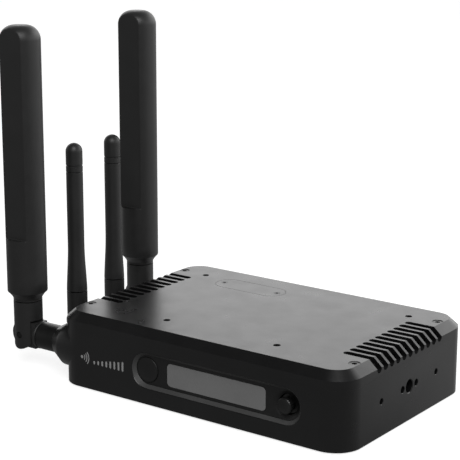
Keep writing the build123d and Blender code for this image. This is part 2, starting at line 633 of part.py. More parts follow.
# ---------------------------------------------------------------- boards and cooling
def make_boards():
    depth = BOARD_Y[1] - BOARD_Y[0]
    centre_y = (BOARD_Y[1] + BOARD_Y[0]) / 2
    radio_x = sum(RADIO_X) / 2
    with BuildPart() as board:
        with BuildSketch(Plane.XY.offset(BOARD_Z)):
            with Locations((0, centre_y)):
                RectangleRounded(BOARD_W, depth, BOARD_CORNER_R)
            with Locations(*STANDOFF_XY):
                Circle(BOARD_SCREW_R + FIT, mode=Mode.SUBTRACT)
        extrude(amount=BOARD_T)
    save(board.part, "main_board")
    with BuildPart() as radio:
        with BuildSketch(Plane.XY.offset(RADIO_Z)):
            with Locations((radio_x, 0)):
                RectangleRounded(RADIO_X[1] - RADIO_X[0], RADIO_D, BOARD_CORNER_R)
            with Locations(*RADIO_POST_XY):
                Circle(BOARD_SCREW_R + FIT, mode=Mode.SUBTRACT)
        extrude(amount=BOARD_T)
    save(radio.part, "radio_board")
    with BuildPart() as standoffs:
        with BuildSketch(Plane.XY.offset(BASE_T)):
            with Locations(*STANDOFF_XY):
                RegularPolygon(STANDOFF_R, 6)
                Circle(BOARD_SCREW_R, mode=Mode.SUBTRACT)
        extrude(amount=BOARD_Z - BASE_T)
        with BuildSketch(Plane.XY.offset(BOARD_TOP)):
            with Locations(*RADIO_POST_XY):
                RegularPolygon(RADIO_STANDOFF_R, 6)
                Circle(BOARD_SCREW_R, mode=Mode.SUBTRACT)
        extrude(amount=RADIO_Z - BOARD_TOP)
    save(standoffs.part, "board_standoffs")
    screw = pan_screw(BOARD_HEAD_R, BOARD_HEAD_H, BOARD_SCREW_R, BOARD_T + BOARD_SCREW_GRIP, BOARD_SOCKET_R)
    fan_screw = pan_screw(BOARD_HEAD_R, BOARD_HEAD_H, BOARD_SCREW_R, FAN_T + FAN_SCREW_GRIP, BOARD_SOCKET_R)
    with BuildPart() as screws:
        with Locations(*[(x, y, BOARD_TOP) for x, y in STANDOFF_XY]):
            add(screw)
        with Locations(*[(x, y, RADIO_Z + BOARD_T) for x, y in RADIO_POST_XY]):
            add(screw)
        with Locations((*COOLER_XY, SINK_TOP + FAN_T)):
            with GridLocations(2 * FAN_SCREW_OFFSET, 2 * FAN_SCREW_OFFSET, 2, 2):
                add(fan_screw)
    save(screws.part, "board_screws")
    with BuildPart() as cans:
        with BuildSketch(Plane.XY.offset(RADIO_Z + BOARD_T)):
            with Locations((radio_x, -CAN_Y), (radio_x, CAN_Y)):
                RectangleRounded(CAN_SIZE[0], CAN_SIZE[1], CAN_CORNER_R)
        extrude(amount=CAN_SIZE[2])
    save(cans.part, "shield_cans")
    with BuildPart() as chips:
        with BuildSketch(Plane.XY.offset(BOARD_TOP)):
            with Locations(COOLER_XY):
                Rectangle(MAIN_CHIP_SIDE, MAIN_CHIP_SIDE)
            with Locations(*CHIP_XY):
                Rectangle(*CHIP_SIZE)
        extrude(amount=SINK_Z - BOARD_TOP)
    save(chips.part, "board_chips")


def make_cooler():
    fin_t = 1.2
    fins = 12
    post_r = 2.8
    cx, cy = COOLER_XY
    with BuildPart() as sink:
        with BuildSketch(Plane.XY.offset(SINK_Z)):
            with Locations(COOLER_XY):
                Rectangle(SINK_SIDE, SINK_SIDE)
        extrude(amount=SINK_BASE_T)
        with BuildSketch(Plane.XY.offset(SINK_Z + SINK_BASE_T)):
            with Locations(COOLER_XY):
                with GridLocations((SINK_SIDE - fin_t) / (fins - 1), 0, fins, 1):
                    Rectangle(fin_t, SINK_SIDE)
                with GridLocations(2 * FAN_SCREW_OFFSET, 2 * FAN_SCREW_OFFSET, 2, 2):
                    Circle(post_r)
        extrude(amount=SINK_TOP - SINK_Z - SINK_BASE_T)
        with BuildSketch(Plane.XY.offset(SINK_Z + SINK_BASE_T)):
            with Locations(COOLER_XY):
                with GridLocations(2 * FAN_SCREW_OFFSET, 2 * FAN_SCREW_OFFSET, 2, 2):
                    Circle(BOARD_SCREW_R)
        extrude(amount=SINK_TOP - SINK_Z - SINK_BASE_T, mode=Mode.SUBTRACT)
    save(sink.part, "heat_sink")
    seat_t = 1.6
    spoke_w = 2.0
    corner_r = 3.0
    rotor_gap = 0.4
    blade = (10, 1, 7)
    blade_pitch = 35
    spoke_l = 2 * FAN_BORE_R + 1
    with BuildPart() as fan:
        with BuildSketch(Plane.XY.offset(SINK_TOP)):
            with Locations(COOLER_XY):
                RectangleRounded(FAN_SIDE, FAN_SIDE, corner_r)
                Circle(FAN_BORE_R, mode=Mode.SUBTRACT)
                with GridLocations(2 * FAN_SCREW_OFFSET, 2 * FAN_SCREW_OFFSET, 2, 2):
                    Circle(BOARD_SCREW_R + FIT, mode=Mode.SUBTRACT)
        extrude(amount=FAN_T)
        with BuildSketch(Plane.XY.offset(SINK_TOP)):
            with Locations(COOLER_XY):
                Circle(FAN_HUB_R)
                Rectangle(spoke_l, spoke_w)
                Rectangle(spoke_w, spoke_l)
        extrude(amount=seat_t)
    save(fan.part, "fan_frame")
    hub_low = SINK_TOP + seat_t + rotor_gap
    hub_high = SINK_TOP + FAN_T - rotor_gap
    blade_z = (hub_low + hub_high) / 2
    with BuildPart() as rotor:
        with Locations((cx, cy, hub_low)):
            Cylinder(FAN_HUB_R, hub_high - hub_low, align=(Align.CENTER, Align.CENTER, Align.MIN))
        with Locations((cx, cy, blade_z)):
            with PolarLocations(FAN_HUB_R + 0.4 * blade[0], FAN_BLADES):
                Box(*blade, rotation=(blade_pitch, 0, 0))
    save(rotor.part, "fan_rotor")


# ---------------------------------------------------------------- rear connectors
def make_video_jacks():
    barrel_r = 4.8
    bore_r = 3.6
    bore_floor = 1.0
    pin_r = 0.7
    reach = 9.0
    shoulder = 1.5
    lug_out = reach - 2
    lug_r, lug_h = 0.9, 1.6
    inner = -WALL - 1
    block = (14, 2 * (MID_Z - BOARD_TOP), 10)
    outline = [
        (0, inner), (ROUND_PORT_R, inner), (ROUND_PORT_R, shoulder), (barrel_r, shoulder), (barrel_r, reach),
        (bore_r, reach), (bore_r, bore_floor), (pin_r, bore_floor), (pin_r, lug_out), (0, lug_out),
    ]
    with BuildPart() as jacks:
        for x in JACK_X:
            plane = rear_plane(x, MID_Z)
            add(turned(outline, plane))
            with BuildSketch(plane.offset(inner)):
                Rectangle(block[0], block[1])
            extrude(amount=-block[2])
            with Locations(plane.offset(lug_out)):
                for side in (-1, 1):
                    with Locations((0, side * barrel_r, 0)):
                        Cylinder(lug_r, lug_h, rotation=(90, 0, 0))
    save(jacks.part, "video_jacks")


def make_board_ports():
    reach = FACE_Y - 0.4
    shell = 0.5
    depth = 7.0
    hdmi_start = BOARD_Y[1] - 6
    hdmi_tongue = (HDMI_L - 4, 1.0)
    usb_start = BOARD_Y[1] - 2
    usb_tongue = (USB_L - 3, 0.7)
    with BuildPart() as hdmi:
        with BuildSketch(rear_plane(HDMI_X, HDMI_Z, hdmi_start)):
            Rectangle(HDMI_L, HDMI_H)
        extrude(amount=reach - hdmi_start)
        with BuildSketch(rear_plane(HDMI_X, HDMI_Z, reach)):
            Rectangle(HDMI_L - 2 * shell, HDMI_H - 2 * shell)
            Rectangle(*hdmi_tongue, mode=Mode.SUBTRACT)
        extrude(amount=-depth, mode=Mode.SUBTRACT)
    save(hdmi.part, "video_port")
    with BuildPart() as usb:
        with BuildSketch(rear_plane(USB_X, USB_Z, usb_start)):
            SlotOverall(USB_L, USB_H)
        extrude(amount=reach - usb_start)
        with BuildSketch(rear_plane(USB_X, USB_Z, reach)):
            SlotOverall(USB_L - 2 * shell, USB_H - 2 * shell)
            Rectangle(*usb_tongue, mode=Mode.SUBTRACT)
        extrude(amount=-depth, mode=Mode.SUBTRACT)
    save(usb.part, "usb_port")


def make_power_inlet():
    flange_r = 7.2
    flange_t = 1.2
    nut_r = 7.6
    nut_back = -WALL - 2.5
    body_r = 5.6
    body_back = -13.0
    bore_r = 4.4
    bore_depth = 6.0
    pin_r = 0.7
    pin_half_pitch = 1.9
    pin_l = 5.4
    outline = [
        (0, body_back), (body_r, body_back), (body_r, nut_back), (nut_r, nut_back), (nut_r, -WALL),
        (ROUND_PORT_R, -WALL), (ROUND_PORT_R, 0), (flange_r, 0), (flange_r, flange_t),
        (bore_r, flange_t), (bore_r, -bore_depth), (0, -bore_depth),
    ]
    with BuildPart() as inlet:
        add(turned(outline, rear_plane(POWER_X, MID_Z)))
        with BuildSketch(rear_plane(POWER_X, MID_Z, FACE_Y - bore_depth)):
            with Locations((0, pin_half_pitch), (0, -pin_half_pitch)):
                Circle(pin_r)
        extrude(amount=pin_l)
    save(inlet.part, "power_inlet")


def make_power_switch():
    bush_reach = 5.0
    bore_depth = 9.0
    nut_r = 4.8
    nut_t = 2.0
    body_size = (8, 9, 9)
    body_corner_r = 0.5
    body_face = FACE_Y - 6
    with BuildPart() as body:
        with BuildSketch(rear_plane(SWITCH_X, MID_Z, body_face)):
            RectangleRounded(body_size[0], body_size[1], body_corner_r)
        extrude(amount=-body_size[2])
        with BuildSketch(rear_plane(SWITCH_X, MID_Z, body_face)):
            Circle(SWITCH_BUSH_R)
        extrude(amount=FACE_Y - body_face + bush_reach)
        with BuildSketch(rear_plane(SWITCH_X, MID_Z)):
            RegularPolygon(nut_r, 6)
        extrude(amount=nut_t)
        with BuildSketch(rear_plane(SWITCH_X, MID_Z, FACE_Y + bush_reach)):
            Circle(SWITCH_BORE_R)
        extrude(amount=-bore_depth, mode=Mode.SUBTRACT)
    save(body.part, "power_switch")
    lever_axis = Vector(0, 1, 0).rotate(Axis.X, -LEVER_TILT)
    lever_plane = Plane((SWITCH_X, SWITCH_PIVOT_Y, MID_Z), x_dir=(1, 0, 0), z_dir=lever_axis)
    ball_r = 1.9
    stem_r = 1.0
    length = 10.0
    profile = [
        (0, -4.0), (stem_r, -4.0), (stem_r, -1.6), (ball_r, -1.0), (ball_r, 1.0),
        (stem_r + 0.3, 1.6), (ball_r, length - 1.0), (ball_r - 0.4, length), (0, length),
    ]
    save(turned(profile, lever_plane), "power_lever")


# ---------------------------------------------------------------- antennas
def make_antenna_ports():
    tail = -WALL - JACK_TAIL
    flange = -WALL - 1.5
    with BuildPart() as jacks:
        for kind, y in ANTENNAS.values():
            mouth = kind.boss_out + JACK_REACH
            bore_floor = mouth - 3.5
            pin_end = mouth - 1
            outline = [
                (0, tail), (JACK_TAIL_R, tail), (JACK_TAIL_R, flange), (JACK_FLANGE_R, flange),
                (JACK_FLANGE_R, -WALL), (JACK_R, -WALL), (JACK_R, mouth), (JACK_BORE_R, mouth),
                (JACK_BORE_R, bore_floor), (JACK_PIN_R, bore_floor), (JACK_PIN_R, pin_end), (0, pin_end),
            ]
            add(turned(outline, side_plane(y)))
    save(jacks.part, "antenna_jacks")
    with BuildPart() as nuts:
        for kind, y in ANTENNAS.values():
            with BuildSketch(side_plane(y, kind.boss_out)):
                RegularPolygon(PORT_NUT_R, 6)
                Circle(JACK_R + FIT / 2, mode=Mode.SUBTRACT)
            extrude(amount=PORT_NUT_T)
    save(nuts.part, "port_nuts")


def make_coupling_nut(name, kind, y):
    """Smooth barrel nut that screws onto the port, clears the port's nut and holds the swivel's collar."""
    start = kind.boss_out + 0.3
    seat_r = PORT_NUT_R + 0.2
    seat_end = kind.boss_out + PORT_NUT_T + 0.2
    cavity = kind.boss_out + JACK_REACH + 0.4
    wall = kind.nut_end - 1.3
    cavity_r = kind.collar_r + 0.3
    edge = 0.4
    outline = [
        (seat_r, start), (kind.nut_r - edge, start), (kind.nut_r, start + edge),
        (kind.nut_r, kind.nut_end - edge), (kind.nut_r - edge, kind.nut_end),
        (kind.neck_r + FIT, kind.nut_end), (kind.neck_r + FIT, wall), (cavity_r, wall),
        (cavity_r, cavity), (JACK_R + FIT / 2, cavity), (JACK_R + FIT / 2, seat_end), (seat_r, seat_end),
    ]
    save(turned(outline, side_plane(y)), f"{name}_coupling_nut")


def make_swivel_base(name, kind, y):
    """Disc that turns in the end of the coupling nut, with a flat tongue for the elbow hinge."""
    collar_top = kind.nut_end - 1.6
    barrel_start = kind.nut_end + 0.35
    barrel_end = kind.pivot_out - kind.barrel_gap
    edge = 0.3
    r = kind.nut_r + 0.1
    outline = [
        (0, kind.collar_out), (kind.collar_r, kind.collar_out), (kind.collar_r, collar_top),
        (kind.neck_r, collar_top), (kind.neck_r, barrel_start), (r - edge, barrel_start),
        (r, barrel_start + edge), (r, barrel_end), (0, barrel_end),
    ]
    pivot_x = -SIDE_X - kind.pivot_out
    with BuildPart() as base:
        add(turned(outline, side_plane(y)))
        fillet(base.edges().filter_by(GeomType.CIRCLE).group_by(Axis.X)[0], kind.end_round)
        with BuildSketch(front_plane(pivot_x, MID_Z, y)):
            Circle(kind.tongue_r)
            with Locations((kind.barrel_gap / 2 + 0.5, 0)):
                Rectangle(kind.barrel_gap + 1, 2 * kind.tongue_r - 1.2)
        extrude(amount=kind.tongue_half, both=True)
        with BuildSketch(front_plane(pivot_x, MID_Z, y)):
            Circle(kind.pin_r + FIT / 2)
        extrude(amount=2 * kind.tongue_half, both=True, mode=Mode.SUBTRACT)
    save(base.part, f"{name}_swivel_base")


def make_hinge_fork(name, kind, y):
    """Round neck whose foot is slotted into two ears, with a spigot that holds the antenna above."""
    pivot_x = -SIDE_X - kind.pivot_out
    r = kind.barrel_r
    neck_h = kind.fork_top - MID_Z
    slot_top = kind.tongue_r + 0.4
    axis_plane = Plane((pivot_x, y, 0))
    with BuildPart() as fork:
        with BuildSketch(front_plane(pivot_x, MID_Z, y)):
            Circle(r)
            with Locations((0, neck_h / 2)):
                Rectangle(2 * r, neck_h)
        extrude(amount=r, both=True)
        with BuildSketch(axis_plane):
            Circle(r)
        extrude(amount=kind.fork_top, mode=Mode.INTERSECT)
        with BuildSketch(front_plane(pivot_x, MID_Z, y)):
            with Locations((0, slot_top / 2 - r)):
                Rectangle(3 * r, slot_top + 2 * r)
        extrude(amount=kind.ear_in, both=True, mode=Mode.SUBTRACT)
        with BuildSketch(axis_plane.offset(kind.fork_top)):
            Circle(kind.spigot_r)
        extrude(amount=kind.spigot_top - kind.fork_top)
        with BuildSketch(axis_plane.offset(MID_Z + slot_top)):
            Circle(FEED_R + FIT)
        extrude(amount=kind.spigot_top, mode=Mode.SUBTRACT)
        with BuildSketch(front_plane(pivot_x, MID_Z, y)):
            Circle(kind.pin_r)
        extrude(amount=2 * r, both=True, mode=Mode.SUBTRACT)
        for side in (-1, 1):
            head_plane = Plane((pivot_x, y + side * r, MID_Z), x_dir=(1, 0, 0), z_dir=(0, -side, 0))
            with BuildSketch(head_plane):
                Circle(kind.pin_head_r + FIT / 2)
            extrude(amount=PIN_HEAD_DEPTH, mode=Mode.SUBTRACT)
    save(fork.part, f"{name}_hinge_fork")
    head_y = r - PIN_HEAD_DEPTH
    outline = [
        (0, -r + 0.3), (kind.pin_head_r - 0.3, -r + 0.3), (kind.pin_head_r, -r + 0.6),
        (kind.pin_head_r, -head_y),
        (kind.pin_r, -head_y), (kind.pin_r, head_y), (kind.pin_head_r, head_y), (kind.pin_head_r, r - 0.6),
        (kind.pin_head_r - 0.3, r - 0.3), (0, r - 0.3),
    ]
    save(turned(outline, front_plane(pivot_x, MID_Z, y)), f"{name}_hinge_pin")


def make_paddle(name, kind, y):
    """Large antenna cover: a round body with two flat faces and a domed top, hollow for its element."""
    pivot_x = -SIDE_X - kind.pivot_out
    start = kind.fork_top + 0.4
    r = kind.barrel_r
    bore_r = kind.spigot_r + FIT / 2
    cavity_r = PADDLE_R - 1.6
    cavity_half = FACET_HALF - 1.6
    cavity_z = (kind.spigot_top + 0.4, PADDLE_TOP - 6)
    plane = Plane((pivot_x, y, 0))
    outline = [
        (0, start), (r, start), (r, start + 0.6), (r - 0.25, start + 0.75), (r - 0.25, start + 0.95),
        (r, start + 1.1), (r + 0.35, start + 1.5), (PADDLE_R - 0.35, PADDLE_SHOULDER_Z - 0.7),
        (PADDLE_R, PADDLE_SHOULDER_Z), (PADDLE_R, PADDLE_TOP), (0, PADDLE_TOP),
    ]
    with BuildPart() as paddle:
        add(turned(outline, plane))
        fillet(paddle.edges().group_by(Axis.Z)[-1], PADDLE_TOP_R)
        for side in (-1, 1):
            with BuildSketch(Plane.XY.offset(FACET_BOTTOM_Z)):
                with Locations((pivot_x, y + side * (FACET_HALF + PADDLE_R / 2))):
                    Rectangle(3 * PADDLE_R, PADDLE_R)
            extrude(amount=PADDLE_TOP, mode=Mode.SUBTRACT)
        with BuildSketch(plane.offset(start)):
            Circle(bore_r)
        extrude(amount=cavity_z[0] - start, mode=Mode.SUBTRACT)
        with BuildSketch(plane.offset(cavity_z[0])):
            Circle(cavity_r)
            Rectangle(4 * cavity_r, 2 * cavity_half, mode=Mode.INTERSECT)
        extrude(amount=cavity_z[1] - cavity_z[0], mode=Mode.SUBTRACT)
    save(paddle.part, f"{name}_radome")
    with BuildPart() as element:
        with BuildSketch(plane.offset(cavity_z[0] + 3)):
            Rectangle(11, 0.8)
        extrude(amount=cavity_z[1] - cavity_z[0] - 6)
        with BuildSketch(plane.offset(start)):
            Circle(FEED_R)
        extrude(amount=cavity_z[0] + 8 - start)
    save(element.part, f"{name}_element")


def make_whip(name, kind, y):
    """Small antenna: a tapered sleeve over a rod element, closed by a round-ended cap."""
    pivot_x = -SIDE_X - kind.pivot_out
    start = kind.fork_top + 0.4
    r = kind.barrel_r
    bore_r = kind.spigot_r + FIT / 2
    plane = Plane((pivot_x, y, 0))
    outline = [
        (bore_r, start), (r, start), (WHIP_R, WHIP_TAPER_Z), (WHIP_R, WHIP_SLEEVE_TOP),
        (bore_r, WHIP_SLEEVE_TOP),
    ]
    save(turned(outline, plane), f"{name}_sleeve")
    groove_z = (100.7, 101.1)
    cap_low = WHIP_SLEEVE_TOP + 0.2
    with BuildPart() as cap:
        add(turned([
            (0, cap_low - 8), (bore_r - FIT / 2, cap_low - 8), (bore_r - FIT / 2, cap_low), (WHIP_R, cap_low),
            (WHIP_R, groove_z[0]), (WHIP_R - 0.3, groove_z[0]), (WHIP_R - 0.3, groove_z[1]),
            (WHIP_R, groove_z[1]), (WHIP_R, WHIP_TOP), (0, WHIP_TOP),
        ], plane))
        fillet(cap.edges().group_by(Axis.Z)[-1], WHIP_R - 0.2)
    save(cap.part, f"{name}_cap")
    with BuildPart() as rod:
        with BuildSketch(plane.offset(start)):
            Circle(FEED_R)
        extrude(amount=cap_low - 12 - start)
    save(rod.part, f"{name}_element")


make_top_cover()
make_main_frame()
make_bottom_plate()
make_feet()
make_housing_screws()
make_hatch()
make_control_panel()
make_display()
make_front_board()
make_button()
make_joystick()
make_boards()
make_cooler()
make_video_jacks()
make_board_ports()
make_power_inlet()
make_power_switch()
make_antenna_ports()
for antenna_name, (antenna_kind, antenna_y) in ANTENNAS.items():
    make_coupling_nut(antenna_name, antenna_kind, antenna_y)
    make_swivel_base(antenna_name, antenna_kind, antenna_y)
    make_hinge_fork(antenna_name, antenna_kind, antenna_y)
    if antenna_kind is PADDLE:
        make_paddle(antenna_name, antenna_kind, antenna_y)
    else:
        make_whip(antenna_name, antenna_kind, antenna_y)
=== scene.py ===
"""Looks of the wireless receiver unit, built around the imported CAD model. Metres, same frame as the CAD."""
import json
import math

import bmesh
import bpy
from mathutils import Matrix, Vector


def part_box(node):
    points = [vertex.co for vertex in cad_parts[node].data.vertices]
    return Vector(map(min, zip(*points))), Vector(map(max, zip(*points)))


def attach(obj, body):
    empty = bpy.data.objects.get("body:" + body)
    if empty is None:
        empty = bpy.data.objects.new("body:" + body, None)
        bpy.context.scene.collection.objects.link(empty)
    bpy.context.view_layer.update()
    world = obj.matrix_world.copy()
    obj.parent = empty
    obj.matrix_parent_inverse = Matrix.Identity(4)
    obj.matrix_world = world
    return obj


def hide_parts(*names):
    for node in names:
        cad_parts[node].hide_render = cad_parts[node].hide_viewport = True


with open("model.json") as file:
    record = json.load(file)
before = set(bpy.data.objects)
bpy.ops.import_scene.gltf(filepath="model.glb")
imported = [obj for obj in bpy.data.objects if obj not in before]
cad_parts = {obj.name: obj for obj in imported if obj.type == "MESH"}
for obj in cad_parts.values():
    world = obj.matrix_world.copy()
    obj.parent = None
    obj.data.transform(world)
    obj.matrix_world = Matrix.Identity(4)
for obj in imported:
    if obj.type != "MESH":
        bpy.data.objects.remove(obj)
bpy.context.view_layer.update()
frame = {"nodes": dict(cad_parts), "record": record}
NODES = frame["nodes"]
MM = 0.001
BODY_OF = {node: body for body, nodes in frame["record"]["behaviour"]["bodies"].items() for node in nodes}
SLOT_OF = {part["node"]: part["material_slot"] for part in frame["record"]["subparts"]}
ANTENNAS = ("front_paddle", "front_whip", "rear_whip", "rear_paddle")


# ---------------------------------------------------------------- camera
CAMERA_AZIMUTH = math.radians(36.157)
CAMERA_ELEVATION = math.radians(13.968)
CAMERA_ROLL = math.radians(0.142)
CAMERA_PLACE = (0.40803, -0.58458, 0.25672)
CAMERA_LENS = 117.4


def add_camera():
    camera = bpy.data.objects.new("camera", bpy.data.cameras.new("camera"))
    bpy.context.scene.collection.objects.link(camera)
    turn = Matrix.Rotation(CAMERA_AZIMUTH, 3, "Z") @ Matrix.Rotation(math.pi / 2 - CAMERA_ELEVATION, 3, "X")
    camera.matrix_world = (turn @ Matrix.Rotation(CAMERA_ROLL, 3, "Z")).to_4x4()
    camera.location = CAMERA_PLACE
    camera.data.lens = CAMERA_LENS
    camera.data.sensor_width = 36.0
    camera.data.clip_start = 0.01
    bpy.context.scene.camera = camera


add_camera()


# ---------------------------------------------------------------- materials
class Nodes:
    """Small helper that adds shader nodes and links them."""

    def __init__(self, material):
        material.use_nodes = True
        self.tree = material.node_tree
        self.shader = self.tree.nodes["Principled BSDF"]
        self.object_space = self.add("ShaderNodeTexCoord").outputs["Object"]

    def add(self, kind, **values):
        node = self.tree.nodes.new(kind)
        for key, value in values.items():
            if key in node.inputs:
                node.inputs[key].default_value = value
            else:
                setattr(node, key, value)
        return node

    def link(self, output, target):
        self.tree.links.new(output, target)

    def noise(self, scale, detail=3.0, stretch=None):
        node = self.add("ShaderNodeTexNoise", Scale=scale, Detail=detail)
        place = self.object_space
        if stretch:
            mapping = self.add("ShaderNodeMapping", Scale=stretch)
            self.link(place, mapping.inputs["Vector"])
            place = mapping.outputs["Vector"]
        self.link(place, node.inputs["Vector"])
        return node.outputs["Fac"]

    def spread(self, value, low, high):
        """value, which lies mostly from 0.3 to 0.7, spread from low to high."""
        node = self.add("ShaderNodeMapRange")
        node.inputs["From Min"].default_value = 0.3
        node.inputs["From Max"].default_value = 0.7
        node.inputs["To Min"].default_value = low
        node.inputs["To Max"].default_value = high
        self.link(value, node.inputs["Value"])
        return node.outputs["Result"]

    def colours(self, value, dark, light):
        ramp = self.add("ShaderNodeValToRGB")
        ramp.color_ramp.elements[0].position = 0.3
        ramp.color_ramp.elements[1].position = 0.7
        ramp.color_ramp.elements[0].color = (*dark, 1)
        ramp.color_ramp.elements[1].color = (*light, 1)
        self.link(value, ramp.inputs["Fac"])
        self.link(ramp.outputs["Color"], self.shader.inputs["Base Color"])

    def bump(self, value, height, strength=1.0):
        node = self.add("ShaderNodeBump", Strength=strength, Distance=height)
        self.link(value, node.inputs["Height"])
        if self.shader.inputs["Normal"].is_linked:
            self.link(self.shader.inputs["Normal"].links[0].from_socket, node.inputs["Normal"])
        self.link(node.outputs["Normal"], self.shader.inputs["Normal"])


def surface(name, dark, light, rough, grain, grain_height, metallic=0.0, ior=1.45, blotch=60.0, stretch=None,
            smear=240.0):
    """Material with colour variation, uneven gloss and a fine grain in its surface."""
    material = bpy.data.materials.new(name)
    nodes = Nodes(material)
    nodes.shader.inputs["Metallic"].default_value = metallic
    nodes.shader.inputs["IOR"].default_value = ior
    nodes.colours(nodes.noise(blotch, 4.0), dark, light)
    nodes.link(nodes.spread(nodes.noise(smear, 5.0), *rough), nodes.shader.inputs["Roughness"])
    nodes.bump(nodes.noise(grain, 2.0, stretch), grain_height)
    return material


def grey(value, tint=0.0):
    return (value, value, value * (1 + tint))


def make_materials():
    """One material per slot: darkest and lightest colour, roughness range, grain scale and height."""
    return {
        "housing_paint": surface("housing_paint", grey(0.0045, 0.03), grey(0.0065, 0.03), (0.27, 0.32),
                                 5200, 4e-6, ior=1.5, smear=90.0),
        "black_screws": surface("black_screws", grey(0.010), grey(0.018), (0.25, 0.4), 3000, 3e-6,
                                metallic=0.6),
        "foot_rubber": surface("foot_rubber", grey(0.010), grey(0.018), (0.75, 0.9), 2600, 2e-5),
        "control_plastic": surface("control_plastic", grey(0.006), grey(0.009), (0.34, 0.44), 4200, 5e-6),
        "knob_plastic": surface("knob_plastic", grey(0.006), grey(0.010), (0.28, 0.4), 4200, 5e-6),
        "window_acrylic": surface("window_acrylic", grey(0.190), grey(0.210), (0.25, 0.32), 900, 1e-6),
        "chip_plastic": surface("chip_plastic", grey(0.02), grey(0.035), (0.5, 0.65), 3200, 6e-6),
        "circuit_board": surface("circuit_board", (0.004, 0.05, 0.02), (0.008, 0.09, 0.035), (0.3, 0.5),
                                 1500, 1e-5),
        "brass": surface("brass", (0.55, 0.38, 0.13), (0.72, 0.52, 0.2), (0.2, 0.35), 2000, 3e-6,
                         metallic=1.0),
        "bright_steel": surface("bright_steel", grey(0.42), grey(0.55), (0.2, 0.34), 1500, 3e-6,
                                metallic=1.0),
        "bare_aluminium": surface("bare_aluminium", grey(0.5), grey(0.6), (0.3, 0.45), 1800, 5e-6,
                                  metallic=1.0, stretch=(1, 0.05, 1)),
        "nut_metal": surface("nut_metal", grey(0.012), grey(0.02), (0.3, 0.42), 2500, 5e-6, metallic=0.5),
        "port_metal": surface("port_metal", grey(0.02), grey(0.035), (0.28, 0.42), 2500, 5e-6, metallic=0.7),
        "fan_plastic": surface("fan_plastic", grey(0.010), grey(0.016), (0.45, 0.6), 2500, 8e-6),
        "antenna_plastic": surface("antenna_plastic", grey(0.0150), grey(0.0185), (0.38, 0.46), 3600, 1e-5,
                                   ior=1.46),
    }


MATERIALS = make_materials()
for node_name, node in NODES.items():
    node.data.materials.clear()
    node.data.materials.append(MATERIALS[SLOT_OF[node_name]])


# ---------------------------------------------------------------- mesh helpers
WELD_DISTANCE = 2e-6
FLAT_ANGLE = math.radians(0.4)  # faces that meet more gently than this become one


def new_piece(name, mesh, body, slot_name, *nodes):
    """Object with a material that rides on a body and stands for CAD nodes."""
    piece = bpy.data.objects.new(name, mesh)
    bpy.context.scene.collection.objects.link(piece)
    mesh.materials.clear()
    mesh.materials.append(MATERIALS[slot_name])
    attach(piece, body)
    if nodes:
        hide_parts(*nodes)
    return piece


def soften(node, width, segments=2, angle=32.0):
    """Stands in for a CAD node with the same shape and rounded edges."""
    work = bmesh.new()
    work.from_mesh(NODES[node].data)
    bmesh.ops.remove_doubles(work, verts=work.verts, dist=WELD_DISTANCE)
    bmesh.ops.dissolve_limit(work, angle_limit=FLAT_ANGLE, verts=work.verts, edges=work.edges)
    for face in work.faces:
        face.smooth = True
    mesh = bpy.data.meshes.new(node + "_soft")
    work.to_mesh(mesh)
    work.free()
    if "custom_normal" in mesh.attributes:
        mesh.attributes.remove(mesh.attributes["custom_normal"])
    piece = new_piece(node + "_soft", mesh, BODY_OF[node], SLOT_OF[node], node)
    bevel = piece.modifiers.new("edges", "BEVEL")
    bevel.width = width * MM
    bevel.segments = segments
    bevel.limit_method = "ANGLE"
    bevel.angle_limit = math.radians(angle)
    bevel.harden_normals = True
    bevel.use_clamp_overlap = True
    return piece


def grid_mesh(name, rings, cap_low=True, cap_high=True):
    """Closed tube of rings of points, each ring with the same number of points."""
    count = len(rings[0])
    points = [point for ring in rings for point in ring]
    faces = []
    for level in range(len(rings) - 1):
        for i in range(count):
            j = (i + 1) % count
            low, high = level * count, (level + 1) * count
            faces.append((low + i, low + j, high + j, high + i))
    if cap_low:
        faces.append(tuple(reversed(range(count))))
    if cap_high:
        top = (len(rings) - 1) * count
        faces.append(tuple(range(top, top + count)))
    mesh = bpy.data.meshes.new(name)
    mesh.from_pydata(points, [], faces)
    mesh.validate()
    mesh.shade_smooth()
    return mesh


def sharpen(mesh, angle):
    mesh.set_sharp_from_angle(angle=math.radians(angle))


def lathe(name, profile, centre, count=96):
    """Turned piece about an upright axis through centre; profile holds (radius, height)."""
    rings = []
    for radius, height in profile:
        ring = []
        for i in range(count):
            turn = 2 * math.pi * i / count
            ring.append((centre[0] + radius * math.cos(turn), centre[1] + radius * math.sin(turn), height))
        rings.append(ring)
    return grid_mesh(name, rings)


def arc(centre_r, centre_z, radius, start, end, steps):
    """Points of a round edge, by angle from the horizontal."""
    turns = [math.radians(start + (end - start) * i / steps) for i in range(steps + 1)]
    return [(centre_r + radius * math.cos(t), centre_z + radius * math.sin(t)) for t in turns]


def smooth_step(low, high, value):
    t = min(max((value - low) / (high - low), 0.0), 1.0)
    return t * t * (3 - 2 * t)


# ---------------------------------------------------------------- paddle antennas
PADDLE_TOP_R = 7.3 * MM
FACET_HALF = 7.5 * MM
FACET_BOTTOM = 67.4 * MM
PADDLE_NECK_R = 7.45 * MM
PADDLE_EDGE_SOFT = 0.10 * MM
PADDLE_COUNT = 160
